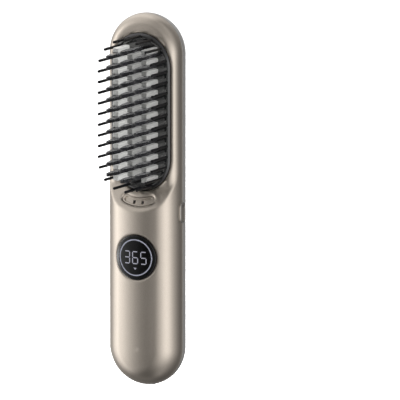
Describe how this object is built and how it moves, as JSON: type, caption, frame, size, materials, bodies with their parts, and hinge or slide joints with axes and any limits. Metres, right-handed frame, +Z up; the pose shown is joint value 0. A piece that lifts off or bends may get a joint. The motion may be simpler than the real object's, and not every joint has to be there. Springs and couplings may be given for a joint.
{
  "type": "cordless heated comb",
  "caption": "Cordless heated straightening comb: a slim capsule body with a heated bristle comb on the upper front, a round display, a side key and a charging port.",
  "frame": {"origin": "centre of the charging port's mouth at the bottom tip, in the parting plane of the two shells", "axes": "+Z up along the body towards the comb, -Y out of the front where the bristles point, +Y out of the flat back, +X to the right seen from the front, where the key is"},
  "size_m": [0.0449, 0.0436, 0.2099],
  "materials": {
    "front_paint": "moulded plastic with a satin champagne metallic lacquer",
    "back_paint": "moulded plastic with a satin metallic lacquer, more neutral grey",
    "screw_steel": "plated steel",
    "comb_black": "glossy heat-proof black plastic",
    "bristle_black": "glossy heat-proof black plastic",
    "heater_aluminium": "satin aluminium",
    "ceramic": "unglazed ceramic",
    "mica": "mica sheet",
    "clamp_steel": "spring steel",
    "fuse_metal": "plated can",
    "sensor_bead": "epoxy bead",
    "vent_paint": "moulded plastic with a satin champagne metallic lacquer",
    "emitter_black": "moulded black plastic",
    "potting": "potted block",
    "bezel_black": "piano black",
    "ring_light": "pale translucent plastic",
    "lens_glass": "dark tinted window, polished",
    "digit_block": "seven-segment block",
    "board_green": "solder mask",
    "key_rim": "moulded plastic with a bright plated rim",
    "key_face": "moulded plastic with a satin metallic lacquer",
    "plunger_plastic": "moulded plastic",
    "switch_plastic": "moulded plastic",
    "cell_wrap": "shrink wrap over a steel can",
    "nickel": "nickel strip",
    "cradle_plastic": "moulded plastic",
    "port_steel": "deep-drawn steel",
    "tongue_black": "moulded plastic"
  },
  "bodies": {
    "casing": {"front_shell": "front_paint", "back_shell": "back_paint", "shell_screws": "screw_steel", "comb_frame": "comb_black", "guard_bristles": "bristle_black", "inner_bristles": "bristle_black", "heater_plate": "heater_aluminium", "heater_elements": "ceramic", "heater_insulator": "mica", "heater_clamp": "clamp_steel", "comb_screws": "screw_steel", "thermal_fuse": "fuse_metal", "temperature_sensor": "sensor_bead", "ion_vent": "vent_paint", "ion_emitter": "emitter_black", "ion_module": "potting", "display_bezel": "bezel_black", "light_ring": "ring_light", "display_lens": "lens_glass", "digit_module": "digit_block", "display_board": "board_green", "button_bezel": "key_rim", "switch_body": "switch_plastic", "switch_board": "board_green", "main_board": "board_green", "battery_cells": "cell_wrap", "cell_tabs": "nickel", "battery_cradle": "cradle_plastic", "usb_port": "port_steel", "usb_tongue": "tongue_black", "port_bezel": "back_paint", "charge_board": "board_green"},
    "power_key": {"power_button": "key_face"},
    "plunger": {"switch_plunger": "plunger_plastic"}
  },
  "joints": [
    {"name": "power_button_press", "type": "slide", "parent": "casing", "child": "power_key", "axis": [-1, 0, 0], "range_m": [0, 0.0004], "stiffness_N_per_m": 3000},
    {"name": "switch_plunger_slide", "type": "slide", "parent": "casing", "child": "plunger", "axis": [-1, 0, 0], "range_m": [0, 0.00045]}
  ],
  "couplings": [
    {"joint": "switch_plunger_slide", "follows": "power_button_press", "ratio": 1}
  ]
}
